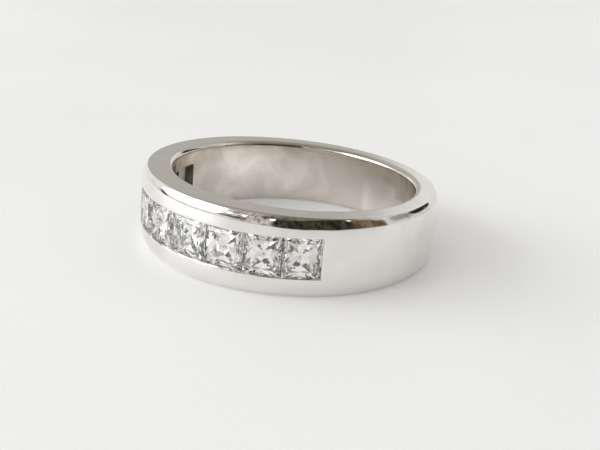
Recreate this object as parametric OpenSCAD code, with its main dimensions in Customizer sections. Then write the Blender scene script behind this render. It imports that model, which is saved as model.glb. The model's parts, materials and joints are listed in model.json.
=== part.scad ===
// A finger ring with a row of square diamonds set in a channel.
// The ring lies on one of its two flat sides on the plane Z = 0. The row of stones faces -Y.
// The two flat sides lean towards each other, so the band is tallest at the stones
// and lowest at the back. The origin is under the middle of the ring's box.

/* [Finger hole] */
// Radius of the finger hole
bore_r = 8.5; // [8.3:0.1:8.6]
// Radius of the soft edge between the finger hole and each flat side
inner_edge = 0.38; // [0.3:0.02:0.5]

/* [Band] */
// Height of the band, measured along the finger hole's axis at its middle
band_h = 4.96; // [4.8:0.02:5.2]
// Angle by which each flat side leans from the hole's square section
taper = 1.3; // [1:0.1:2]
// Distance from the hole's axis to the outside at the middle of the stones
head_r = 10.72; // [10.7:0.02:10.9]
// Distance from the hole's axis to the outside at the back
back_r = 10.16; // [10.1:0.02:10.4]
// How far the outside bulges between its two shoulders
bulge = 0.14; // [0.1:0.02:0.24]
// Height of the curved shoulder between the outside and each flat side
shoulder_h = 0.9; // [0.7:0.05:1.1]
// How far the shoulder draws in before it meets the flat side
shoulder_in = 0.32; // [0.26:0.02:0.4]

/* [Stones] */
// Length of the middle stone along the row
middle_l = 2.94; // [2.88:0.02:3]
// Length of the stone next to the middle one, on either side
second_l = 2.82; // [2.76:0.02:2.88]
// Length of the next stone towards either end
third_l = 2.73; // [2.66:0.01:2.8]
// Length of the last stone but one
fourth_l = 2.54; // [2.46:0.01:2.6]
// Length of the last stone at either end
last_l = 2.5; // [2.4:0.02:2.56]
// Width of every stone, across the row
stone_w = 2.76; // [2.7:0.02:2.8]
// Width and length of the table, as a share of the stone's
table_share = 0.7; // [0.62:0.02:0.76]
// Height of the crown, from the girdle to the table
crown_h = 0.28; // [0.24:0.02:0.32]
// Thickness of the girdle
girdle_h = 0.07; // [0.04:0.01:0.1]
// Depth of the pavilion, from the girdle to the point
pavilion_h = 1.4; // [1.35:0.05:1.45]
// Free space between two stones, and between a stone and the metal
gap = 0.04; // [0.03:0.01:0.06]

/* [Channel] */
// Width of the opening between the two rails, and of the trench under the stones
channel_w = 2.6; // [2.5:0.02:2.64]
// How far the tables lie below the outside of the band
table_depth = 0.12; // [0.08:0.01:0.16]
// Thickness of the cross bars that are left under the channel
floor_t = 0.6; // [0.5:0.05:0.65]
// Width of each cross bar between two windows in the floor
bar_w = 0.6; // [0.5:0.05:0.8]
// Height of the windows behind the stones
window_h = 2.5; // [2.3:0.05:2.5]

/* [Hidden] */
$fn = 128;
// How far a shape that cuts reaches past the metal
past = 1;
half_h = band_h / 2;
lean = tan(taper);

// The outline of the band is a circle whose centre is shifted towards the stones,
// so the metal is thickest there. The row of stones follows the same circle.
outline_r = (head_r + back_r) / 2;
shift = (head_r - back_r) / 2;
bulge_r = (half_h ^ 2 + bulge ^ 2) / (2 * bulge);

// The shoulder is an arc that leaves the barrel softly and meets the flat side at an edge.
shoulder_r = (shoulder_h ^ 2 + shoulder_in ^ 2) / (2 * shoulder_in);

// The shoulders follow the barrel, which is a little narrower where the band is taller.
overlap = 0.03;
function barrel_sag(z) = z ^ 2 / (2 * bulge_r);
head_sag = barrel_sag(half_h + head_r * lean - shoulder_h);
back_sag = barrel_sag(half_h - back_r * lean - shoulder_h);
shoulder_reach = outline_r - (head_sag + back_sag) / 2 + overlap;
shoulder_shift = shift - (head_sag - back_sag) / 2;

// Level of the girdle's upper edge, as a distance from the outline's centre.
girdle_r = outline_r - table_depth - crown_h;

// Points on the middle line of a stone's side, as shares of its half width and of the
// crown's height or the pavilion's depth: on the crown, and three breaks on the pavilion.
crown_break = [0.85, 0.62];
first_break = [0.72, 0.33];
second_break = [0.42, 0.66];
third_break = [0.1, 0.92];

stone_lengths = [middle_l, second_l, third_l, fourth_l, last_l];
side_count = len(stone_lengths) - 1;
stone_count = 2 * side_count + 1;
// Length along the row from its middle to the far end of the stone k places from the middle
function reach(k) = k == 0 ? stone_lengths[0] / 2 : reach(k - 1) + stone_lengths[k];
// Angle of the boundary after k + 1 half rows, and the same on the other side for k below 0
function boundary_angle(k) =
    k >= 0 ? reach(k) / outline_r * 180 / PI : -boundary_angle(-k - 1);
// Angles where stone i begins and ends, with stone 1 at the -X end of the row
function stone_from(i) = boundary_angle(i - 2 - side_count);
function stone_to(i) = boundary_angle(i - 1 - side_count);
row_end = boundary_angle(side_count);

// Lays the ring down: its children are drawn with the hole's axis on Z and the stones
// towards +X.
module lying() {
    translate([0, shift, half_h * cos(taper)])
        rotate([0, 0, -90])
            rotate([0, -taper, 0])
                children();
}

// Outside of the band without its flat sides, as a barrel about the hole's direction.
module barrel() {
    translate([shift, 0, 0])
        rotate_extrude()
            intersection() {
                translate([outline_r - bulge_r, 0])
                    circle(bulge_r);
                translate([0, -2 * half_h])
                    square([2 * outline_r, 4 * half_h]);
            }
}

// Places its children on the upper flat side, with Z pointing out of it, at distance x from
// the hole's axis towards the stones.
module on_side(x) {
    translate([x, 0, half_h + x * lean])
        rotate([0, -taper, 0])
            children();
}

// Repeats its children on the lower flat side.
module both_sides() {
    children();
    mirror([0, 0, 1])
        children();
}

// What is cut away to curve the shoulder under the upper flat side. The arc crosses the
// outside at a small angle, so that it doesn't only touch it.
module shoulder_cut() {
    centre = [shoulder_reach - shoulder_r, -shoulder_h];
    on_side(shoulder_shift)
        rotate_extrude()
            difference() {
                translate(centre)
                    square([shoulder_r + past, shoulder_h + past]);
                translate(centre)
                    circle(shoulder_r);
            }
}

// What is cut away to soften the upper edge of the finger hole, in the same way.
module inner_edge_cut() {
    centre = [bore_r + inner_edge - overlap, overlap - inner_edge];
    on_side(0)
        rotate_extrude()
            difference() {
                translate([bore_r - past, centre.y])
                    square([centre.x - bore_r + past, past]);
                translate(centre)
                    circle(inner_edge);
            }
}

// The solid band with nothing cut from it but its shoulders.
module blank() {
    size = 4 * head_r;
    difference() {
        barrel();
        both_sides()
            on_side(0)
                translate([-size / 2, -size / 2, 0])
                    cube(size);
        both_sides()
            shoulder_cut();
    }
}

// Section of the channel, radius against height: the opening, the groove for the
// girdles, the seat under it and the trench down to the cross bars.
module channel_profile() {
    rail_reach = crown_h * (stone_w - channel_w) / (stone_w - stone_w * table_share);
    groove_top = norm([girdle_r + rail_reach, max(stone_lengths) / 2]) + gap;
    groove_foot = girdle_r - girdle_h - gap;
    groove_w = stone_w + 2 * gap;
    underside = first_break[1] * pavilion_h / ((1 - first_break[0]) * stone_w / 2);
    seat_foot = groove_foot - underside * (groove_w - channel_w) / 2;
    trench_foot = bore_r + floor_t - shift;
    polygon([
        [trench_foot, -channel_w / 2],
        [seat_foot, -channel_w / 2],
        [groove_foot, -groove_w / 2],
        [groove_top, -groove_w / 2],
        [groove_top, -channel_w / 2],
        [outline_r + past, -channel_w / 2],
        [outline_r + past, channel_w / 2],
        [groove_top, channel_w / 2],
        [groove_top, groove_w / 2],
        [groove_foot, groove_w / 2],
        [seat_foot, channel_w / 2],
        [trench_foot, channel_w / 2]
    ]);
}

module channel() {
    slack = gap / outline_r * 180 / PI;
    translate([shift, 0, 0])
        rotate([0, 0, -row_end - slack])
            rotate_extrude(angle = 2 * (row_end + slack))
                channel_profile();
}

// Window i in the floor of the channel. The first and last reach the ends of the row.
module window(i) {
    r = bore_r - shift;
    first_bar = i == 1 ? gap : bar_w / 2;
    last_bar = i == stone_count ? gap : bar_w / 2;
    from_y = -r * tan((stone_to(i) - stone_from(i)) / 2) + first_bar;
    to_y = r * tan((stone_to(i) - stone_from(i)) / 2) - last_bar;
    translate([shift, 0, 0])
        rotate([0, 0, (stone_from(i) + stone_to(i)) / 2])
            translate([r - past, from_y, -window_h / 2])
                cube([past + floor_t + gap, to_y - from_y, window_h]);
}

module band() {
    color([0.82, 0.82, 0.81])
        lying()
            difference() {
                blank();
                cylinder(r = bore_r, h = 4 * band_h, center = true);
                both_sides()
                    inner_edge_cut();
                channel();
                for (i = [1:stone_count])
                    window(i);
            }
}

// A square-cut stone with its table up, its girdle's upper edge at Z = 0 and its point down.
// Every side has a star, two side facets and a lower facet on the crown, and on the pavilion
// a wide facet and three pairs of narrow ones that fan out from the corners.
module stone(length) {
    half = [stone_w / 2, length / 2];
    corners = [[1, 1], [-1, 1], [-1, -1], [1, -1]];
    middles = [[1, 0], [0, 1], [-1, 0], [0, -1]];
    function at(direction, share, z) =
        [half.x * share * direction.x, half.y * share * direction.y, z];
    points = [
        for (c = corners) at(c, table_share, crown_h),
        for (m = middles) at(m, crown_break[0], crown_break[1] * crown_h),
        for (c = corners) at(c, 1, 0),
        for (c = corners) at(c, 1, -girdle_h),
        for (m = middles) at(m, first_break[0], -girdle_h - first_break[1] * pavilion_h),
        for (m = middles) at(m, second_break[0], -girdle_h - second_break[1] * pavilion_h),
        for (m = middles) at(m, third_break[0], -girdle_h - third_break[1] * pavilion_h),
        [0, 0, -girdle_h - pavilion_h]
    ];
    point = len(points) - 1;
    // Where each ring of four points starts in the list
    table = 0;
    star = 4;
    upper = 8;
    lower = 12;
    first = 16;
    second = 20;
    third = 24;
    faces = [
        [table + 3, table + 2, table + 1, table],
        for (k = [0:3])
            let (l = (k + 3) % 4)
                each [
                    [table + l, table + k, star + k],
                    [table + l, star + k, upper + l],
                    [table + k, upper + k, star + k],
                    [upper + l, star + k, upper + k],
                    [upper + l, upper + k, lower + k, lower + l],
                    [lower + l, lower + k, first + k],
                    [lower + l, first + k, second + k],
                    [lower + k, second + k, first + k],
                    [lower + l, second + k, third + k],
                    [lower + k, third + k, second + k],
                    [lower + l, third + k, point],
                    [lower + k, point, third + k]
                ]
    ];
    color([0.93, 0.95, 0.97, 0.6])
        polyhedron(points, faces, convexity = 2);
}

// Stone i in its place in the row.
module set_stone(i) {
    middle = (stone_from(i) + stone_to(i)) / 2;
    half_angle = (stone_to(i) - stone_from(i)) / 2;
    length = 2 * (girdle_r - girdle_h) * tan(half_angle) - gap;
    lying()
        translate([shift, 0, 0])
            rotate([0, 0, middle])
                translate([girdle_r, 0, 0])
                    rotate([0, 90, 0])
                        stone(length);
}

band();
for (i = [1:stone_count])
    set_stone(i);
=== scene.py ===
# %% [markdown]
# A channel-set diamond ring, lying on its side on a pale table.
# The ring is two things: one piece of cast and polished white gold, and nine square
# diamonds that sit in a channel along its front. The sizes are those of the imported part,
# so the first step is to load that part as a fixed frame. Everything is built around it,
# in metres, and the frame's own box is kept to compare with at the end.

# %% Load the frame
import json
import math

import bmesh
import bpy
from mathutils import Matrix, Vector


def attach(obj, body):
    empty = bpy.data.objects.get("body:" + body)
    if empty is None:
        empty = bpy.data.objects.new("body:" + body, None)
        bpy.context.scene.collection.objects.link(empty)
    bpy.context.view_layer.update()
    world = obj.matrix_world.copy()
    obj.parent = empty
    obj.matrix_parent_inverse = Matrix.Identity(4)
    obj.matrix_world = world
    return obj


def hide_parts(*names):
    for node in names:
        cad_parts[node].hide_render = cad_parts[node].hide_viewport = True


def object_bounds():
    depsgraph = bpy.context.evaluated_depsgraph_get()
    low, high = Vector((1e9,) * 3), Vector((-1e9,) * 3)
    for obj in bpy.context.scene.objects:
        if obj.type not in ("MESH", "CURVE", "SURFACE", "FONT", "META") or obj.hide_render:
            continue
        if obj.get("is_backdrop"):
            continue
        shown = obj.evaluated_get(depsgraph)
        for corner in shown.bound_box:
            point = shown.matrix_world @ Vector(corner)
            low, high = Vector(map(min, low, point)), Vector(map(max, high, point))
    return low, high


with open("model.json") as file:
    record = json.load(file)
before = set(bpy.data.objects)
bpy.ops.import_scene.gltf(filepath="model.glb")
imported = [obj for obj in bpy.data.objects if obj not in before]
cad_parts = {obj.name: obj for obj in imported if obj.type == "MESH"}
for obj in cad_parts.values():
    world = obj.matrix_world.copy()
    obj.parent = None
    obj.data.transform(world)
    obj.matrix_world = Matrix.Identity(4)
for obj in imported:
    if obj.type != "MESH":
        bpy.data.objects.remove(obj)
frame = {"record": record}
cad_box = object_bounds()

mm = 0.001
print("the part measures", [round(size / mm, 2) for size in cad_box[1] - cad_box[0]], "mm")

# %% [markdown]
# The driving sizes of a ring are few. The finger hole is a ring size. The outside is a
# circle too, but its centre lies a little towards the stones, so the metal is thicker
# there. The two flat sides lean towards each other, so the band is also taller there.
# The outside isn't a plain cylinder: it bulges like a barrel, which is what makes the
# reflections in a band like this one run together softly.

# %% Sizes of the band
hole_radius = frame["record"]["mounts"][0]["dims"]["r_mm"] * mm
band_height = 4.96 * mm
taper = math.radians(1.3)
head_radius = 10.72 * mm
back_radius = 10.16 * mm
bulge = 0.14 * mm
crease_round = 0.08 * mm
inner_round = 0.38 * mm

half_height = band_height / 2
lean = math.tan(taper)
outline_radius = (head_radius + back_radius) / 2
shift = (head_radius - back_radius) / 2
bulge_radius = (half_height**2 + bulge**2) / (2 * bulge)
print("the metal is", round((head_radius - hole_radius) / mm, 2), "mm thick at the stones")

# %% [markdown]
# The stones are the other half of the design. A channel holds a row of square stones by
# their outer edges only: a groove in each rail takes the edge, and the metal above the
# groove laps over the stone by 0.08 mm. The stones get shorter towards the ends of the
# row. Their lengths are measured along the outside of the band, so a stone itself is about
# 0.15 mm shorter. Each is flat, so nine of them make a nine-sided bend.

# %% Sizes of the stones and their channel
stone_lengths = [2.94 * mm, 2.82 * mm, 2.73 * mm, 2.54 * mm, 2.5 * mm]
stone_width = 2.76 * mm
table_share = 0.7
crown_height = 0.28 * mm
girdle_height = 0.07 * mm
pavilion_depth = 1.4 * mm
# Points down the middle of each side of the pavilion: how far out and how deep, as shares.
pavilion_breaks = [(0.72, 0.33), (0.42, 0.66), (0.1, 0.92)]
gap = 0.04 * mm
table_depth = 0.12 * mm
channel_width = 2.6 * mm
floor_thickness = 0.6 * mm
bar_width = 0.6 * mm
window_height = 2.5 * mm

side_count = len(stone_lengths) - 1
stone_count = 2 * side_count + 1
girdle_radius = outline_radius - table_depth - crown_height
row_lengths = stone_lengths[:0:-1] + stone_lengths
joints = [-sum(row_lengths) / 2 / outline_radius]
for length in row_lengths:
    joints.append(joints[-1] + length / outline_radius)
stone_spans = list(zip(joints, joints[1:]))
row_end = joints[-1] + gap / outline_radius
print(stone_count, "stones span", round(math.degrees(2 * row_end), 1), "degrees of the ring")

# %% [markdown]
# The camera looks down on the ring from the side where the row of stones ends, about
# twenty degrees above the table. These numbers describe a camera that was matched to the
# outline of the ring in the photograph: how high it looks from, how far it stands to the
# side of the stones, how far away it is and how much it is tilted. The picture is taken
# from a larger one, so the lens's own middle isn't the picture's middle: shift says so.

# %% Camera
camera_elevation = math.radians(20.317)
camera_side = math.radians(56.133)
camera_roll = math.radians(2.94)
camera_distance = 66.98 * mm
camera_right = -3.355 * mm
camera_up = 0.667 * mm
image_width = 600
image_height = 450
focal_pixels = 925.955
lens_middle = (242.818, 225.513)


def add_camera():
    """The camera that looks at the ring as the photograph does."""
    turn = Matrix.Rotation(camera_side, 3, "Z")
    back = turn @ Vector((0, -math.cos(camera_elevation), math.sin(camera_elevation)))
    right = turn @ Vector((1, 0, 0))
    up = back.cross(right)
    camera = bpy.data.objects.new("camera", bpy.data.cameras.new("camera"))
    bpy.context.scene.collection.objects.link(camera)
    under_hole = Vector((0, shift, 0))
    camera.location = under_hole + back * camera_distance + right * camera_right + up * camera_up
    tilted_right = right * math.cos(camera_roll) + up * math.sin(camera_roll)
    tilted_up = back.cross(tilted_right)
    camera.rotation_mode = "QUATERNION"
    rows = Matrix((tilted_right, tilted_up, back)).transposed()
    camera.rotation_quaternion = rows.to_quaternion()
    camera.data.sensor_width = 36
    camera.data.lens = focal_pixels * camera.data.sensor_width / image_width
    camera.data.shift_x = (image_width / 2 - lens_middle[0]) / image_width
    camera.data.shift_y = (lens_middle[1] - image_height / 2) / image_width
    camera.data.clip_start = 1 * mm
    camera.data.clip_end = 10
    bpy.context.scene.camera = camera
    return camera


camera = add_camera()
# Tones go into the picture as they are, with no film curve.
bpy.context.scene.view_settings.view_transform = "Standard"
print("the camera stands", [round(v / mm, 1) for v in camera.location], "mm from the ring's origin")

# %% [markdown]
# The band could be cut out of a solid with booleans, as a jeweller would mill it. But
# polished metal shows every uneven face as a broken reflection, and a boolean leaves many.
# So the band is drawn as a row of cross sections instead, one for each small step round
# the ring, and neighbouring sections are joined by even, four-sided faces. In the row
# of stones the section has the channel in it, and elsewhere it has the plain outside.
# The shoulder between the outside and a flat side isn't the same all round, as if filed
# by hand: it is tall and steep just past the stones, and low and slanted at the back. The
# photograph shows this on one side of the ring, and the other side is taken to match it.

# %% Section of the band
round_steps = 16
crease_steps = 5
flat_steps = 5
wall_steps = 8
foot_steps = 3


def to_hole(angle):
    """Distance from the outline's centre to the wall of the finger hole."""
    across = shift * math.sin(angle)
    return math.sqrt(hole_radius**2 - across**2) - shift * math.cos(angle)


# Degrees from the middle of the row, with the shoulder's height and inset in millimetres.
shoulder_places = [(35, 0.88, 0.32), (80, 1.1, 0.25), (90, 1.1, 0.25), (125, 0.6, 0.38)]


def shoulder(angle):
    """Height and inset of the shoulder at this angle, which change smoothly between the places."""
    away = abs(math.degrees(math.remainder(angle, 2 * math.pi)))
    height, inset = shoulder_places[0][1:]
    for before, after in zip(shoulder_places, shoulder_places[1:]):
        share = min(max((away - before[0]) / (after[0] - before[0]), 0), 1)
        share *= share * (3 - 2 * share)
        height += (after[1] - before[1]) * share
        inset += (after[2] - before[2]) * share
    return height * mm, inset * mm


def place_on_line(slope, level, centre, reach):
    """The outer one of two points on a sloping line that lie at this distance from a centre."""
    a = 1 + slope**2
    b = slope * (level - centre[1]) - centre[0]
    c = centre[0] ** 2 + (level - centre[1]) ** 2 - reach**2
    x = (-b + math.sqrt(b**2 - a * c)) / a
    return (x, slope * x + level)


def arc(centre, radius, start, end, steps):
    """Points on an arc in the section, from one direction to the other, in radians."""
    points = []
    for step in range(steps + 1):
        direction = start + (end - start) * step / steps
        points.append((centre[0] + radius * math.cos(direction), centre[1] + radius * math.sin(direction)))
    return points


def upper_half(angle):
    """The section's upper half, from the channel's edge over the flat side to the window's edge."""
    slope = lean * math.cos(angle)
    rise = half_height + shift * lean
    tilt = math.sqrt(1 + slope**2)
    top = math.atan2(1, -slope)
    # The shoulder is an arc that leaves the barrel smoothly and meets the flat side at an angle.
    barrel = (outline_radius - bulge_radius, 0)
    height, inset = shoulder(angle)
    steepness = 2 * math.atan2(inset, height)
    radius = height / math.sin(steepness)
    centre = place_on_line(slope, rise - height * tilt, barrel, bulge_radius - radius)
    wall_end = math.atan2(centre[1], centre[0] - barrel[0])
    # Polishing leaves a very small round where they meet.
    crease = place_on_line(slope, rise - crease_round * tilt, centre, radius - crease_round)
    shoulder_end = math.atan2(crease[1] - centre[1], crease[0] - centre[0])
    start = math.asin(channel_width / 2 / bulge_radius)
    points = arc(barrel, bulge_radius, start, wall_end, wall_steps)
    points += arc(centre, radius, wall_end, shoulder_end, round_steps)[1:]
    points += arc(crease, crease_round, shoulder_end, top, crease_steps)[1:]
    # The inner round touches the flat side and the wall of the hole.
    x = to_hole(angle) + inner_round
    inner_centre = (x, slope * x + rise - inner_round * tilt)
    inner_arc = arc(inner_centre, inner_round, top, math.pi, round_steps)
    first, last = Vector(points[-1]), Vector(inner_arc[0])
    for step in range(1, flat_steps):
        points.append(tuple(first.lerp(last, step / flat_steps)))
    points += inner_arc
    foot = Vector((to_hole(angle), window_height / 2))
    last = Vector(inner_arc[-1])
    for step in range(1, foot_steps + 1):
        points.append(tuple(last.lerp(foot, step / foot_steps)))
    return points


def plain_middle(steps=10):
    """The outside between the channel's edges where there is no channel, from below."""
    start = math.asin(channel_width / 2 / bulge_radius)
    return arc((outline_radius - bulge_radius, 0), bulge_radius, -start, start, steps)[1:-1]


print("a plain section has", 2 * len(upper_half(0)) + len(plain_middle()), "points")

# %% [markdown]
# The channel's own section has a lip that laps over the stones, a groove for their edges,
# a slanted seat for their undersides and a trench under them. On the real ring the lip is
# pressed down on each stone, so its underside follows the flat stones and not the
# ring's curve. A window behind each stone lets light and water through.

# %% Section of the channel
lip_gap = 0.015 * mm
# At a joint between two stones, both count when they are this near, in radians.
joint_reach = 0.01
share, depth = pavilion_breaks[0]
underside = depth * pavilion_depth / ((1 - share) * stone_width / 2)
seat_drop = underside * (stone_width / 2 + gap - channel_width / 2)
trench_radius = hole_radius + floor_thickness - shift


def lip_level(angle):
    """Height of the lip's underside, which lies on the flat stones."""
    crown_run = stone_width * (1 - table_share)
    level = girdle_radius + crown_height * (stone_width - channel_width) / crown_run + lip_gap
    levels = []
    for start, end in stone_spans:
        if start - joint_reach < angle < end + joint_reach:
            levels.append(level / math.cos(angle - (start + end) / 2))
    return max(levels)


def channel_cut(angle):
    """The channel between its two edges, from the upper one down and up again."""
    lip = lip_level(max(min(angle, joints[-1]), joints[0]))
    foot = girdle_radius - girdle_height - gap
    half = [
        (lip, channel_width / 2),
        (lip, stone_width / 2 + gap),
        (foot, stone_width / 2 + gap),
        (foot - seat_drop, channel_width / 2),
        (trench_radius, channel_width / 2),
        (trench_radius, window_height / 2),
    ]
    return half + [(x, -z) for x, z in reversed(half)]


print("the channel is", round((channel_cut(0)[0][0] - trench_radius) / mm, 2), "mm deep under the lip")

# %% [markdown]
# A section is needed wherever the shape changes: at both ends of the row, at each joint
# between stones and at each end of a window. Between those places the sections stand one
# degree apart, close enough for a smooth circle. The windows are worked out first: each is
# as long as its stone, less the bar of metal that stays between two windows.

# %% Stations round the ring
step_angle = math.radians(1)
window_spans = []
for number, (start, end) in enumerate(stone_spans):
    half_length = (hole_radius - shift) * math.tan((end - start) / 2) - bar_width / 2
    half_window = math.atan(half_length / hole_radius)
    middle = (start + end) / 2
    from_angle = joints[0] if number == 0 else middle - half_window
    to_angle = joints[-1] if number == stone_count - 1 else middle + half_window
    window_spans.append((from_angle, to_angle))


def filled(marks):
    """The given angles with even steps between them, none longer than step_angle."""
    angles = [marks[0]]
    for start, end in zip(marks, marks[1:]):
        count = max(1, math.ceil((end - start) / step_angle - 1e-6))
        angles += [start + (end - start) * k / count for k in range(1, count)] + [end]
    return angles


marks = sorted({-row_end, row_end, *joints, *(angle for span in window_spans for angle in span)})
row_angles = filled(marks)
plain_angles = filled([row_end, 2 * math.pi - row_end])[1:-1]
stations = row_angles + plain_angles
print(len(stations), "sections round the ring,", len(row_angles), "of them in the row of stones")

# %% [markdown]
# Now the mesh. Each station gets a line of vertices round its section, and a strip of faces
# joins it to the next one. Where there is a window, the strips on the wall of the hole and
# on the floor of the trench leave out their middle face, and four short walls join the
# two openings. The result has to be closed, so the edges are counted.

# %% Build the band
rail_edge = 0.045 * mm
window_edge = 0.07 * mm


def lying():
    """From the drawing, with the hole upright and the stones towards +X, to the ring's place."""
    place = Matrix.Translation((0, shift, half_height * math.cos(taper)))
    turned = Matrix.Rotation(-math.pi / 2, 4, "Z")
    return place @ turned @ Matrix.Rotation(-taper, 4, "Y")


def in_ring(angle, point):
    """A point of the section at this angle, as a place in the drawing."""
    x, z = point
    return Vector((shift + x * math.cos(angle), x * math.sin(angle), z))


def station_points(bm, angle, points):
    """A vertex for each of a section's points."""
    return [bm.verts.new(in_ring(angle, point)) for point in points]


def strip(bm, first, second, skip=()):
    """Four-sided faces between two neighbouring lines of vertices."""
    for k in range(len(first) - 1):
        if k not in skip:
            bm.faces.new((first[k], first[k + 1], second[k + 1], second[k]))


def in_window(start, end):
    """True where the stretch between two stations lies in a window."""
    middle = (start + end) / 2
    return any(a < middle < b for a, b in window_spans)


def build_band():
    """The band as one closed mesh."""
    bm = bmesh.new()
    skins, cuts, plains = [], [], []
    for number, angle in enumerate(stations):
        upper = upper_half(angle)
        skins.append(station_points(bm, angle, upper + [(x, -z) for x, z in reversed(upper)]))
        in_row = number < len(row_angles)
        at_end = number in (0, len(row_angles) - 1)
        cuts.append(station_points(bm, angle, channel_cut(angle)) if in_row else None)
        plains.append(station_points(bm, angle, plain_middle()) if at_end or not in_row else None)
    hole_wall = len(upper_half(0)) - 1
    floor_middle = len(channel_cut(0)) // 2 - 1
    for k in range(len(stations)):
        n = (k + 1) % len(stations)
        in_row = k < len(row_angles) - 1
        window = in_row and in_window(stations[k], stations[n])
        strip(bm, skins[k], skins[n], skip=[hole_wall] if window else [])
        if in_row:
            cut_k = [skins[k][0], *cuts[k], skins[k][-1]]
            cut_n = [skins[n][0], *cuts[n], skins[n][-1]]
            strip(bm, cut_n, cut_k, skip=[floor_middle + 1] if window else [])
        else:
            strip(bm, [skins[k][-1], *plains[k], skins[k][0]], [skins[n][-1], *plains[n], skins[n][0]])
        if window:
            for side in (0, 1):
                a, b = skins[k][hole_wall + side], skins[n][hole_wall + side]
                c, d = cuts[n][floor_middle + side], cuts[k][floor_middle + side]
                bm.faces.new((a, b, c, d))
    for k in (0, len(row_angles) - 1):
        bm.faces.new((skins[k][0], *cuts[k], skins[k][-1], *plains[k]))
    for span in window_spans:
        for angle in span:
            k = stations.index(angle)
            wall = [skins[k][hole_wall], skins[k][hole_wall + 1]]
            bm.faces.new((*wall, cuts[k][floor_middle + 1], cuts[k][floor_middle]))
    bmesh.ops.recalc_face_normals(bm, faces=bm.faces)
    bm.transform(lying())
    return bm


band_bm = build_band()
print("open or doubled edges:", sum(not edge.is_manifold for edge in band_bm.edges))
print("volume", round(band_bm.calc_volume() / mm**3, 1), "mm3")


# %% [markdown]
# Sharp corners catch no light, so the edges that a polishing wheel reaches are softened:
# the rim of the channel and the rims of the windows. A bevel along just those edges does
# it, before the shading is set: faces that meet at a small angle are shaded smoothly.
# Weighted normals then keep the large polished faces true, up to where a round begins.

# %% Soften the edges and make the band
smooth_below = math.radians(32)


def soften(bm, near_edge, width, segments):
    """Bevels the sharp edges whose middle passes the test."""
    edges = []
    for edge in bm.edges:
        middle = lying_back @ ((edge.verts[0].co + edge.verts[1].co) / 2)
        if edge.calc_face_angle(0) > math.radians(45) and near_edge(middle):
            edges.append(edge)
    settings = dict(offset=width, offset_type="OFFSET", segments=segments, profile=0.5, affect="EDGES")
    bmesh.ops.bevel(bm, geom=edges, **settings)
    return len(edges)


def at_channel_rim(point):
    """True on the outside surface, at the edge of the channel."""
    reach = math.hypot(point.x - shift, point.y)
    return reach > outline_radius - 0.08 * mm and abs(point.z) < channel_width / 2 + 0.02 * mm


def at_window_rim(point):
    """True on the wall of the finger hole, at the edge of a window."""
    on_wall = math.hypot(point.x, point.y) < hole_radius + 0.02 * mm
    return on_wall and abs(point.z) < window_height / 2 + 0.02 * mm


lying_back = lying().inverted()
print("softened", soften(band_bm, at_channel_rim, rail_edge, 3), "edges of the channel")
print("softened", soften(band_bm, at_window_rim, window_edge, 3), "edges of the windows")


def add_piece(name, bm):
    """An object with this mesh, in the scene."""
    mesh = bpy.data.meshes.new(name)
    bm.to_mesh(mesh)
    bm.free()
    piece = bpy.data.objects.new(name, mesh)
    bpy.context.scene.collection.objects.link(piece)
    return piece


def shade(bm, limit):
    """Smooth faces, with edges sharper than the limit kept sharp."""
    for face in bm.faces:
        face.smooth = True
    for edge in bm.edges:
        edge.smooth = edge.calc_face_angle(0) < limit


shade(band_bm, smooth_below)
band = add_piece("polished_band", band_bm)
true_faces = band.modifiers.new("true faces", "WEIGHTED_NORMAL")
true_faces.mode = "FACE_AREA"
true_faces.weight = 100
true_faces.keep_sharp = True
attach(band, "root")
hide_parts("band")
print("the band has", len(band.data.polygons), "faces")

# %% [markdown]
# A square stone of this cut has a wide table, a low crown, and under it a deep pavilion
# whose facets all fan out from the four corners. Each side has one wide facet at the top
# and pairs of narrower ones below it, and these show through the table as a cross of
# nested arrowheads. So the stone is built by that rule: points down the middle of each
# side, and from each one a facet to either corner.

# %% Cut a stone
# The point down the middle of each side of the crown: how far out and how high, as shares.
crown_break = (0.85, 0.62)
quarter_turns = [(1, 1), (-1, 1), (-1, -1), (1, -1)]
side_middles = [(1, 0), (0, 1), (-1, 0), (0, -1)]


def cut_stone(length):
    """A stone with its girdle's upper edge at height 0 and its point down."""
    bm = bmesh.new()

    def ring(directions, share, z):
        half_w, half_l = share * stone_width / 2, share * length / 2
        return [bm.verts.new((x * half_w, y * half_l, z)) for x, y in directions]

    table = ring(quarter_turns, table_share, crown_height)
    star = ring(side_middles, crown_break[0], crown_break[1] * crown_height)
    upper = ring(quarter_turns, 1, 0)
    lower = ring(quarter_turns, 1, -girdle_height)
    lines = []
    for share, depth in pavilion_breaks:
        lines.append(ring(side_middles, share, -girdle_height - depth * pavilion_depth))
    point = bm.verts.new((0, 0, -girdle_height - pavilion_depth))
    bm.faces.new(table)
    for k in range(4):
        before = k - 1
        faces = [
            (table[before], table[k], star[k]),
            (table[before], star[k], upper[before]),
            (table[k], upper[k], star[k]),
            (upper[before], star[k], upper[k]),
            (upper[before], upper[k], lower[k], lower[before]),
            (lower[before], lower[k], lines[0][k]),
        ]
        down = [line[k] for line in lines] + [point]
        for above, below in zip(down, down[1:]):
            faces.append((lower[before], above, below))
            faces.append((lower[k], below, above))
        for face in faces:
            bm.faces.new(face)
    bmesh.ops.recalc_face_normals(bm, faces=bm.faces)
    return bm


trial_bm = cut_stone(stone_width)
print("one stone has", len(trial_bm.faces), "facets,", round(trial_bm.calc_volume() / mm**3, 2), "mm3")
trial_bm.free()

# %% [markdown]
# Each stone is built at the origin and then carried to its place in the row, with its table
# outwards. The row is laid out by angle, and a stone is as long as the flat that its share
# of the angle gives, less a small gap, so that no two stones touch.

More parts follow.
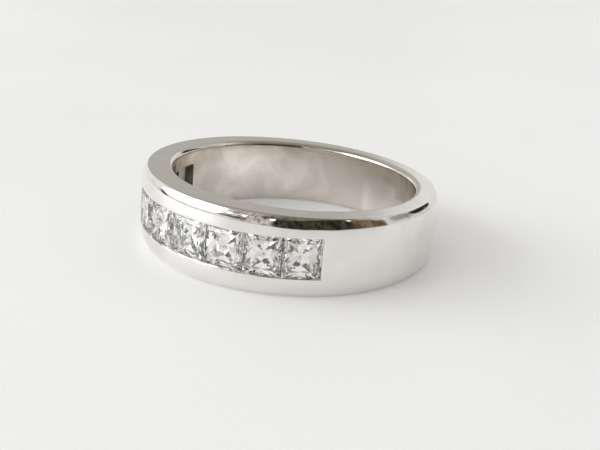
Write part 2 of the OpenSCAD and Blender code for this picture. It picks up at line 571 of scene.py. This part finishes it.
# %% Set the stones
stones = []
for number, (start, end) in enumerate(stone_spans, 1):
    length = 2 * (girdle_radius - girdle_height) * math.tan((end - start) / 2) - gap
    stone_bm = cut_stone(length)
    turn = Matrix.Rotation((start + end) / 2, 4, "Z")
    place = lying() @ Matrix.Translation((shift, 0, 0)) @ turn @ Matrix.Translation((girdle_radius, 0, 0))
    stone_bm.transform(place @ Matrix.Rotation(math.pi / 2, 4, "Y"))
    stone = add_piece(f"square_diamond_{number}", stone_bm)
    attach(stone, "root")
    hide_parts(f"diamond_{number}")
    stones.append(stone)
    print(stone.name, "is", round(length / mm, 2), "mm long,", len(stone.data.polygons), "facets")

# %% [markdown]
# A surface is never the same all over: a worn ring has hairline scratches, faint smears
# from fingers and a few specks. Each of these is an effect that several finishes share, so
# each is a node group with named inputs, built once and placed in a material with that
# material's own values. All of them work in millimetres, in the ring's own space, so the
# marks keep their real size and stay where they are when the view changes. Smears come
# first. They are cloudy, so they are plain noise with its middle tones pulled apart.

# %% Node helpers and smears
def add_node(tree, kind, inputs=None, **settings):
    """A node with its settings; an input takes a plain value or a link from a socket."""
    made = tree.nodes.new(kind)
    for name, value in settings.items():
        setattr(made, name, value)
    for key, value in (inputs or {}).items():
        if isinstance(value, bpy.types.NodeSocket):
            tree.links.new(value, made.inputs[key])
        else:
            made.inputs[key].default_value = value
    return made


def calculate(tree, operation, *values):
    """The result of a Math node."""
    return add_node(tree, "ShaderNodeMath", dict(enumerate(values)), operation=operation).outputs[0]


def blend_range(tree, value, start, end, low=0.0, high=1.0):
    """Goes smoothly from low to high as the value goes from start to end."""
    inputs = {"Value": value, "From Min": start, "From Max": end, "To Min": low, "To Max": high}
    return add_node(tree, "ShaderNodeMapRange", inputs, interpolation_type="SMOOTHSTEP").outputs["Result"]


def add_noise(tree, place, scale, detail, **others):
    """The grey value of a Noise Texture."""
    inputs = {"Vector": place, "Scale": scale, "Detail": detail, **others}
    return add_node(tree, "ShaderNodeTexNoise", inputs).outputs[0]


def new_group(name, inputs, outputs):
    """A shader node group, its input sockets and its output sockets."""
    group = bpy.data.node_groups.new(name, "ShaderNodeTree")
    for socket, (kind, value) in inputs.items():
        made = group.interface.new_socket(socket, in_out="INPUT", socket_type=f"NodeSocket{kind}")
        if value is not None:
            made.default_value = value
    for socket in outputs:
        group.interface.new_socket(socket, in_out="OUTPUT", socket_type="NodeSocketFloat")
    return group, group.nodes.new("NodeGroupInput").outputs, group.nodes.new("NodeGroupOutput").inputs


def build_smears():
    """Cloudy patches, as fingers leave on polish."""
    group, given, result = new_group("smears", {"Place": ("Vector", None), "Size": ("Float", 2.0)}, ["Mask"])
    scale = calculate(group, "DIVIDE", 1.0, given["Size"])
    noise = add_noise(group, given["Place"], scale, 4.0, Distortion=0.6)
    group.links.new(blend_range(group, noise, 0.38, 0.68), result["Mask"])
    return group


smears = build_smears()
print("the smears take", len(smears.nodes), "nodes")

# %% [markdown]
# Hairlines come from a cloth, so they are long, straight and thin, and they cross. Noise
# that is stretched along one direction has contour lines like that. A narrow band around
# its middle value keeps just the lines, and three turned copies make them cross.

# %% Hairline scratches
def build_scratches():
    """Hairlines in three directions: thin contour lines of stretched noise."""
    inputs = {"Place": ("Vector", None), "Spacing": ("Float", 0.3)}
    inputs.update({"Length": ("Float", 4.0), "Width": ("Float", 0.02)})
    group, given, result = new_group("hairline scratches", inputs, ["Mask"])
    across = calculate(group, "DIVIDE", 1.0, given["Spacing"])
    along = calculate(group, "DIVIDE", 1.0, given["Length"])
    scale = add_node(group, "ShaderNodeCombineXYZ", {"X": along, "Y": across, "Z": across}).outputs[0]
    total = None
    for turn in [(0.3, 0.9, 0.2), (1.4, -0.5, 1.1), (-0.8, 0.4, 2.2)]:
        angles = {"Vector": given["Place"], "Rotation": turn}
        turned = add_node(group, "ShaderNodeVectorRotate", angles, rotation_type="EULER_XYZ")
        stretched = add_node(group, "ShaderNodeVectorMath", {0: turned.outputs[0], 1: scale})
        stretched.operation = "MULTIPLY"
        noise = add_noise(group, stretched.outputs[0], 1.0, 1.0)
        off_line = calculate(group, "ABSOLUTE", calculate(group, "SUBTRACT", noise, 0.5))
        line = blend_range(group, off_line, given["Width"], 0.0)
        total = line if total is None else calculate(group, "MAXIMUM", total, line)
    group.links.new(total, result["Mask"])
    return group


scratches = build_scratches()
print("the scratches take", len(scratches.nodes), "nodes")

# %% [markdown]
# Specks are dust and tiny pits. A Voronoi texture scatters points with some distance
# between them, and a disc round some of those points is a speck.

# %% Specks
def build_specks():
    """A few small round marks: dust and pits."""
    inputs = {"Place": ("Vector", None), "Spacing": ("Float", 1.5)}
    inputs.update({"Size": ("Float", 0.05), "Share": ("Float", 0.3)})
    group, given, result = new_group("specks", inputs, ["Mask"])
    scale = calculate(group, "DIVIDE", 1.0, given["Spacing"])
    cells = add_node(group, "ShaderNodeTexVoronoi", {"Vector": given["Place"], "Scale": scale})
    chance = add_node(group, "ShaderNodeSeparateColor", {"Color": cells.outputs["Color"]}).outputs[0]
    chosen = calculate(group, "LESS_THAN", chance, given["Share"])
    radius = calculate(group, "MULTIPLY", given["Size"], scale)
    spot = blend_range(group, cells.outputs["Distance"], radius, calculate(group, "MULTIPLY", radius, 0.5))
    group.links.new(calculate(group, "MULTIPLY", spot, chosen), result["Mask"])
    return group


specks = build_specks()
print("the specks take", len(specks.nodes), "nodes")

# %% [markdown]
# The ring lies on a sheet of pale card. It is more than a background: the whole lower half
# of the band is a mirror that shows it, so its tone is half of the metal's look. The card
# is slightly glossy, and it has a faint glow of its own, which real card hasn't. The glow
# stands for the light that a real room sends in under the ring, and keeps the contact
# shadow soft. The card is the simplest material here, so it shows how all of them are
# made: noise in millimetres blends two close colours, and a little of it is bump.

# %% Table
def blend_colour(tree, share, first, second):
    """The first colour where the share is 0, the second where it is 1."""
    inputs = {"Factor": share, "A": first, "B": second}
    mixed = add_node(tree, "ShaderNodeMix", data_type="RGBA")
    for key, value in inputs.items():
        socket = next(s for s in mixed.inputs if s.name == key and s.enabled)
        if isinstance(value, bpy.types.NodeSocket):
            tree.links.new(value, socket)
        else:
            socket.default_value = value
    return next(s for s in mixed.outputs if s.enabled)


def new_material(name, **values):
    """A material's node tree and its Principled shader, with these plain values."""
    material = bpy.data.materials.new(name)
    material.use_nodes = True
    tree = material.node_tree
    surface = tree.nodes["Principled BSDF"]
    for socket, value in values.items():
        surface.inputs[socket.replace("_", " ")].default_value = value
    return material, tree, surface


def in_millimetres(tree):
    """The place on the piece, in millimetres."""
    here = add_node(tree, "ShaderNodeTexCoord").outputs["Object"]
    return add_node(tree, "ShaderNodeVectorMath", {0: here, "Scale": 1 / mm}, operation="SCALE").outputs[0]


table_size = 3.0
light_card = (0.88, 0.884, 0.897, 1)
dark_card = (0.85, 0.854, 0.867, 1)


def pale_card():
    """Slightly glossy card with a very faint grain."""
    values = dict(Roughness=0.4, Specular_IOR_Level=0.3, Emission_Strength=0.15)
    material, tree, surface = new_material("pale card", **values)
    place = in_millimetres(tree)
    grain = add_noise(tree, place, 3.0, 5.0)
    cloud = add_noise(tree, place, 0.02, 2.0)
    tone = calculate(tree, "MULTIPLY_ADD", grain, 0.25, calculate(tree, "MULTIPLY", cloud, 0.75))
    tint = blend_colour(tree, blend_range(tree, tone, 0.35, 0.65), dark_card, light_card)
    tree.links.new(tint, surface.inputs["Base Color"])
    tree.links.new(tint, surface.inputs["Emission Color"])
    height = calculate(tree, "MULTIPLY", grain, 0.01)
    bump = add_node(tree, "ShaderNodeBump", {"Height": height, "Distance": mm})
    tree.links.new(bump.outputs[0], surface.inputs["Normal"])
    return material


table_bm = bmesh.new()
bmesh.ops.create_grid(table_bm, x_segments=1, y_segments=1, size=table_size)
table_top = add_piece("table_top", table_bm)
table_top.data.materials.append(pale_card())
table_top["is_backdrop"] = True
print("the table is", 2 * table_size, "m wide, its top at height", table_top.location.z)

# %% [markdown]
# One casting, three finishes. The outside and the flat sides are polished to a mirror, the
# wall of the finger hole only gets a satin finish from a felt stick, which leaves lines
# round the hole, and the channel under the stones is left as the burr cut it. The mesh
# itself says which is which: each vertex stores how far it belongs to the hole and to the
# channel, so that one material can blend between the three.

# %% Mark the finishes on the band
def mark(mesh, name, share_at):
    """Stores a number from 0 to 1 for each vertex."""
    marks = mesh.attributes.new(name, "FLOAT", "POINT")
    shares = [min(max(share_at(lying_back @ vertex.co), 0), 1) for vertex in mesh.vertices]
    marks.data.foreach_set("value", shares)
    return sum(share > 0.5 for share in shares)


def share_of_hole(point):
    """1 on the wall of the finger hole, fading out over its rounded edge."""
    return 1 - (math.hypot(point.x, point.y) - hole_radius - 0.06 * mm) / (0.14 * mm)


def share_of_channel(point):
    """1 inside the channel and the windows."""
    reach = math.hypot(point.x - shift, point.y)
    inside = hole_radius + 0.03 * mm < math.hypot(point.x, point.y) and reach < outline_radius - 0.09 * mm
    return float(inside and abs(point.z) < stone_width / 2 + 0.1 * mm)


print("on the hole:", mark(band.data, "hole", share_of_hole), "vertices")
print("in the channel:", mark(band.data, "channel", share_of_channel), "vertices")

# %% [markdown]
# White gold is a warm grey metal, here without the bluish plating that many rings get. For
# a metal, Base Color is the colour of its reflections, so the polish, the satin and the
# channel differ only a little. Deep in the windows and the trench the colour turns dark
# brown: that is painted shade, for the shade in these hollows behind the stones. The hole's
# satin has darker worn patches at random, and more of them towards the back: that part is painted shade.

# %% Colour of the white gold
polish = (0.88, 0.86, 0.835, 1)
smeared_polish = (0.85, 0.825, 0.795, 1)
satin = (0.88, 0.84, 0.795, 1)
# Satin with worn patches; towards the back of the hole they also carry painted shade.
worn_satin = (0.71, 0.655, 0.595, 1)
cut_metal = (0.88, 0.86, 0.82, 1)
# Painted shade: the dark brown deep in the windows and the trench.
painted_window_shade = (0.17, 0.14, 0.10, 1)
dirt = (0.38, 0.35, 0.32, 1)
# Distance from the hole's axis, in millimetres, below which the windows get painted shade.
painted_shade_starts = (hole_radius + floor_thickness) / mm


def place_group(tree, group, **inputs):
    """The mask of a node group that is placed in a material with these values."""
    return add_node(tree, "ShaderNodeGroup", inputs, node_tree=group).outputs["Mask"]


def marks_on_gold(tree, place):
    """Where each finish, each kind of wear and the painted shade lie on the band, from 0 to 1."""
    found = {}
    for name in ("hole", "channel"):
        found[name] = add_node(tree, "ShaderNodeAttribute", attribute_name=name).outputs["Fac"]
    found["smear"] = place_group(tree, smears, Place=place, Size=1.6)
    found["scratch"] = place_group(tree, scratches, Place=place, Spacing=0.35, Length=5.0, Width=0.012)
    found["speck"] = place_group(tree, specks, Place=place, Spacing=1.3, Size=0.08, Share=0.35)
    # Worn patches at random on the hole, with painted shade added towards the back.
    patches = add_noise(tree, place, 0.28, 4.0, Distortion=0.8)
    along_y = add_node(tree, "ShaderNodeSeparateXYZ", {0: place}).outputs[1]
    painted_shade_at_back = blend_range(tree, along_y, 1.5, 5.5, 0.0, 0.14)
    found["worn"] = blend_range(tree, calculate(tree, "ADD", patches, painted_shade_at_back), 0.42, 0.66)
    # Painted shade in the windows: darker the nearer they lie to the hole's axis.
    level = add_node(tree, "ShaderNodeVectorMath", {0: place, 1: (1, 1, 0)}, operation="MULTIPLY")
    from_axis = add_node(tree, "ShaderNodeVectorMath", {0: level.outputs[0]}, operation="LENGTH")
    found["deep"] = blend_range(tree, from_axis.outputs["Value"], painted_shade_starts + 0.15, painted_shade_starts)
    return found


def gold_colour(tree, found):
    """The colour of the metal's reflections."""
    tint = blend_colour(tree, found["smear"], polish, smeared_polish)
    # The hole's satin darkens in worn patches and, towards the back, in painted shade.
    tint = blend_colour(tree, found["hole"], tint, blend_colour(tree, found["worn"], satin, worn_satin))
    # In the channel, painted shade darkens the deep part of the windows.
    tint = blend_colour(tree, found["channel"], tint, blend_colour(tree, found["deep"], cut_metal, painted_window_shade))
    return blend_colour(tree, calculate(tree, "MULTIPLY", found["speck"], 0.6), tint, dirt)


print("the polish throws back", round(sum(polish[:3]) / 3, 3), "of the light")

# %% [markdown]
# The roughness does most of the work: almost none on the polish, a little more where it is
# smeared, much more in the hole. The bump is tiny: hairlines, the slow unevenness that
# polishing by hand leaves, and lines round the hole. It is given in millimetres, so its
# strength has a real size.

# %% White gold
def lines_round_hole(tree, place):
    """Fine lines that run round the finger hole."""
    x, y, z = add_node(tree, "ShaderNodeSeparateXYZ", {0: place}).outputs
    round_hole = calculate(tree, "ARCTAN2", x, calculate(tree, "MULTIPLY", y, -1.0))
    inputs = {"X": calculate(tree, "MULTIPLY", round_hole, 3.0), "Y": calculate(tree, "MULTIPLY", z, 14.0)}
    unrolled = add_node(tree, "ShaderNodeCombineXYZ", inputs).outputs[0]
    return add_noise(tree, unrolled, 1.0, 3.0)


def gold_roughness(tree, found, lines):
    """How blurred the metal's reflections are."""
    rough = blend_range(tree, found["smear"], 0.0, 1.0, 0.045, 0.085)
    rough = calculate(tree, "MULTIPLY_ADD", found["scratch"], 0.03, rough)
    rough = calculate(tree, "MULTIPLY_ADD", found["speck"], 0.3, rough)
    in_hole = calculate(tree, "MULTIPLY", found["hole"], blend_range(tree, lines, 0.3, 0.7, 0.12, 0.17))
    in_channel = calculate(tree, "MULTIPLY", found["channel"], 0.3)
    return calculate(tree, "MAXIMUM", calculate(tree, "MAXIMUM", rough, in_hole), in_channel)


def gold_height(tree, place, found, lines):
    """The relief of the surface, in millimetres."""
    height = calculate(tree, "MULTIPLY", add_noise(tree, place, 0.55, 1.0), 0.03)
    height = calculate(tree, "MULTIPLY_ADD", found["scratch"], -0.0002, height)
    height = calculate(tree, "MULTIPLY_ADD", found["speck"], -0.004, height)
    return calculate(tree, "MULTIPLY_ADD", calculate(tree, "MULTIPLY", lines, found["hole"]), 0.002, height)


def white_gold():
    """Polished white gold with a satin hole and an unpolished channel."""
    material, tree, surface = new_material("white gold", Metallic=1.0)
    place = in_millimetres(tree)
    found = marks_on_gold(tree, place)
    lines = lines_round_hole(tree, place)
    tree.links.new(gold_colour(tree, found), surface.inputs["Base Color"])
    tree.links.new(gold_roughness(tree, found, lines), surface.inputs["Roughness"])
    relief = {"Height": gold_height(tree, place, found, lines), "Distance": mm, "Strength": 1.0}
    tree.links.new(add_node(tree, "ShaderNodeBump", relief).outputs[0], surface.inputs["Normal"])
    return material


band.data.materials.append(white_gold())
print("white gold has", len(band.data.materials[0].node_tree.nodes), "nodes")

# %% [markdown]
# A diamond bends light more than anything else on this ring: its refractive index is 2.417,
# where window glass has 1.5. That alone makes the facets sparkle, as long as the mesh is
# one closed solid and its faces stay flat, with no smooth shading. What nodes add is the
# thin film of grease that stones soon get: a little uneven roughness, and a slight tint.
# Light bounces many times inside a stone before it comes out, and a facet where the
# renderer gives up too early turns black, so the scene allows more bounces than usual.

# %% Diamond
clear = (1.0, 0.995, 0.985, 1)
greasy = (0.985, 0.978, 0.96, 1)
dust = (0.75, 0.74, 0.72, 1)


def diamond():
    """Clear diamond, slightly smeared."""
    material, tree, surface = new_material("diamond", Transmission_Weight=1.0, IOR=2.417)
    place = in_millimetres(tree)
    smear = place_group(tree, smears, Place=place, Size=0.7)
    speck = place_group(tree, specks, Place=place, Spacing=0.6, Size=0.03, Share=0.25)
    tint = blend_colour(tree, speck, blend_colour(tree, smear, clear, greasy), dust)
    tree.links.new(tint, surface.inputs["Base Color"])
    rough = blend_range(tree, smear, 0.0, 1.0, 0.0, 0.02)
    rough = calculate(tree, "MULTIPLY_ADD", speck, 0.1, rough)
    tree.links.new(rough, surface.inputs["Roughness"])
    height = calculate(tree, "MULTIPLY", smear, 0.0004)
    bump = add_node(tree, "ShaderNodeBump", {"Height": height, "Distance": mm})
    tree.links.new(bump.outputs[0], surface.inputs["Normal"])
    return material


bpy.context.scene.cycles.max_bounces = 16
bpy.context.scene.cycles.glossy_bounces = 12
bpy.context.scene.cycles.transmission_bounces = 16
clear_diamond = diamond()
for stone in stones:
    stone.data.materials.append(clear_diamond)
print("diamond on", len(stones), "stones, up to", bpy.context.scene.cycles.glossy_bounces, "bounces inside")

# %% [markdown]
# Polished metal has no look of its own: it shows the room. This room was found by trial:
# its patches were moved and toned until the reflections looked like the photograph's. It
# has grey walls, a warmer ceiling, a bright panel low on the left, dark screens in front
# and three small spots above them, for sparkles along the edges. It isn't modelled. The
# world shader paints it as soft patches by direction: how far round from the side of the
# main view, and how far up. Upright streaks keep them from looking like cut paper. The
# background of the picture is plain pale light instead. More than half of what is seen
# through a stone is an even light too. No real room does that: it is there because these
# few patches alone leave the stones darker than the real ones look.

# %% Room
def build_patch():
    """A soft patch in a given direction; squareness 0 makes it round, 1 makes it a rectangle."""
    names = ("Round", "Up", "Middle round", "Middle up", "Half width", "Half height")
    inputs = {name: ("Float", 0.0) for name in (*names, "Slope", "Softness", "Squareness")}
    group, given, result = new_group("patch of the room", inputs, ["Mask"])
    turn = calculate(group, "SUBTRACT", given["Round"], given["Middle round"])
    turn = calculate(group, "WRAP", turn, 180.0, -180.0)
    across = calculate(group, "ABSOLUTE", calculate(group, "DIVIDE", turn, given["Half width"]))
    sloping = calculate(group, "MULTIPLY_ADD", turn, given["Slope"], given["Middle up"])
    up = calculate(group, "SUBTRACT", given["Up"], sloping)
    along = calculate(group, "ABSOLUTE", calculate(group, "DIVIDE", up, given["Half height"]))
    square = calculate(group, "MAXIMUM", across, along)
    both = calculate(group, "MULTIPLY_ADD", along, along, calculate(group, "MULTIPLY", across, across))
    rounded = calculate(group, "SQRT", both)
    inputs = {"Factor": given["Squareness"], "A": rounded, "B": square}
    mix = add_node(group, "ShaderNodeMix", inputs, data_type="FLOAT")
    inner = calculate(group, "SUBTRACT", 1.0, given["Softness"])
    outer = calculate(group, "ADD", 1.0, given["Softness"])
    group.links.new(blend_range(group, mix.outputs[0], outer, inner), result["Mask"])
    return group


room_grey = (0.455, 0.45, 0.415, 1)
background = (0.8, 0.8, 0.8, 1)
# The share of even light in what is seen through a stone, and its colour.
stone_fill = 0.55
even_light = (0.95, 0.93, 0.88, 1)
# Streaks are this many times as tall as they are wide.
streak_length = 8.3333
# Each patch has its middle round and up, its half width and half height, all in degrees,
# its slope, softness and squareness, the strength of the streaks on it, and its light.
room_patches = [
    ("ceiling", 0, 100, 200, 48, 0, 0.25, 1, 0.1, (0.31, 0.29, 0.245)),
    ("above the dark screen", 24, 44, 44, 14, 0, 0.4, 0.4, 0.2, (0.19, 0.18, 0.145)),
    ("right wall", 98, 14, 28, 36, 0, 0.25, 0.7, 0.15, (0.70, 0.68, 0.65)),
    ("far right wall", 148, 10, 22, 14, 0, 0.15, 0.9, 0.05, (0.78, 0.77, 0.75)),
    ("left wall", -138, 6, 34, 18, 0.3, 0.3, 0.4, 0.05, (0.86, 0.86, 0.85)),
    ("streaked screen", -32, 16, 24, 30, 0, 0.25, 0.6, 0.6, (0.50, 0.48, 0.44)),
    ("bright panel", -83, 20, 31, 19, 0.32, 0.08, 0.6, 0, (3.4, 3.45, 3.5)),
    ("wall under the panel", -85, 1, 46, 8, 0.02, 0.2, 0.9, 0.15, (0.74, 0.74, 0.72)),
    ("dark edge of the left wall", -109, 5, 6, 5, -0.5, 0.4, 0.2, 0, (0.07, 0.065, 0.05)),
    ("low dark screen", -43, 14, 12, 4, 0.15, 0.3, 0.3, 0.7, (0.11, 0.095, 0.075)),
    ("top of the screen", -10, 36, 14, 8, -0.25, 0.3, 0.2, 0.5, (0.13, 0.12, 0.09)),
    ("dark screen", 21, 12, 33, 21, -0.03, 0.06, 0.8, 0.75, (0.045, 0.037, 0.026)),
    ("grey edge of the right wall", 93, 12, 13, 7, 0, 0.35, 0.5, 0.3, (0.33, 0.325, 0.29)),
    ("brown screen", 61, 8, 14, 13, -0.6, 0.15, 0.6, 0.5, (0.19, 0.13, 0.08)),
    ("slit between the screens", 46, 25, 1.6, 3, -0.3, 0.3, 0.3, 0, (1.6, 1.6, 1.5)),
    ("first small spot", -12, 31, 1.8, 2.4, 0, 0.3, 0, 0, (5.0, 5.0, 4.9)),
    ("second small spot", -36, 30, 1.8, 2.4, 0, 0.3, 0, 0, (5.0, 5.0, 4.9)),
    ("third small spot", -47, 28, 1.8, 2.4, 0, 0.3, 0, 0, (5.0, 5.0, 4.9)),
    ("black screen", 127, 19, 22, 7, 0.2, 0.12, 0.5, 0.2, (0.022, 0.02, 0.014)),
]
room_patch = build_patch()


def build_room():
    """The world: patches of light and dark by direction."""
    world = bpy.data.worlds.new("room")
    bpy.context.scene.world = world
    world.use_nodes = True
    tree = world.node_tree
    direction = add_node(tree, "ShaderNodeTexCoord").outputs["Generated"]
    x, y, z = add_node(tree, "ShaderNodeSeparateXYZ", {0: direction}).outputs
    turn = calculate(tree, "ARCTAN2", x, calculate(tree, "MULTIPLY", y, -1.0))
    turn = calculate(tree, "SUBTRACT", calculate(tree, "DEGREES", turn), math.degrees(camera_side))
    up = calculate(tree, "DEGREES", calculate(tree, "ARCSINE", z))
    squeezed = calculate(tree, "DIVIDE", up, streak_length)
    place = add_node(tree, "ShaderNodeCombineXYZ", {0: turn, 1: squeezed}).outputs[0]
    streaks = blend_range(tree, add_noise(tree, place, 0.3, 3.0, Roughness=0.65), 0.4, 0.62)
    light = room_grey
    for name, *shape, contrast, colour in room_patches:
        patch = add_node(tree, "ShaderNodeGroup", node_tree=room_patch, label=name)
        for socket, value in zip(patch.inputs, [turn, up, *shape]):
            if isinstance(value, bpy.types.NodeSocket):
                tree.links.new(value, socket)
            else:
                socket.default_value = value
        darker = (*(c * (1 - contrast) for c in colour), 1)
        brighter = (*(c * (1 + contrast) for c in colour), 1)
        streaked = blend_colour(tree, streaks, darker, brighter)
        light = blend_colour(tree, patch.outputs["Mask"], light, streaked)
    paths = add_node(tree, "ShaderNodeLightPath").outputs
    through_stone = calculate(tree, "MULTIPLY", paths["Is Transmission Ray"], stone_fill)
    light = blend_colour(tree, through_stone, light, even_light)
    light = blend_colour(tree, paths["Is Camera Ray"], light, background)
    tree.links.new(light, tree.nodes["Background"].inputs["Color"])
    return len(room_patches)


print("the room has", build_room(), "patches")

# %% [markdown]
# The room alone is too dark to light the card. Two soft lights do that: a large one
# overhead, and a weaker one low on the left, on the bright panel's side, which gives the
# soft shadow on the right. Both are hidden from mirror reflections and from rays in the
# stones, so they brighten the card without drawing a lamp on the metal or the stones.

# %% Soft lights
def add_soft_light(name, turn, lift, distance, size, power):
    """A square light that faces the ring from the given direction."""
    lamp = bpy.data.lights.new(name, "AREA")
    lamp.shape = "SQUARE"
    lamp.size = size
    lamp.energy = power
    light = bpy.data.objects.new(name, lamp)
    bpy.context.scene.collection.objects.link(light)
    turn = math.radians(turn) + camera_side
    lift = math.radians(lift)
    level = math.cos(lift)
    towards = Vector((math.sin(turn) * level, -math.cos(turn) * level, math.sin(lift)))
    light.location = towards * distance
    light.rotation_mode = "QUATERNION"
    light.rotation_quaternion = towards.to_track_quat("Z", "Y")
    light.visible_glossy = False
    light.visible_transmission = False
    return light


add_soft_light("overhead", 0, 88, 0.5, 0.7, 0.88)
add_soft_light("low left", -105, 22, 0.5, 0.3, 0.62)
print("lights:", [light.name for light in bpy.data.lights])

# %% [markdown]
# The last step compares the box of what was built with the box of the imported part. They
# should agree to a few hundredths of a millimetre, because a finish never moves a surface.

# %% Check the size and finish
new_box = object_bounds()
differences = [round(abs(a - b) / mm, 3) for a, b in zip(cad_box[1], new_box[1])]
print("off the part's box by", differences, "mm")
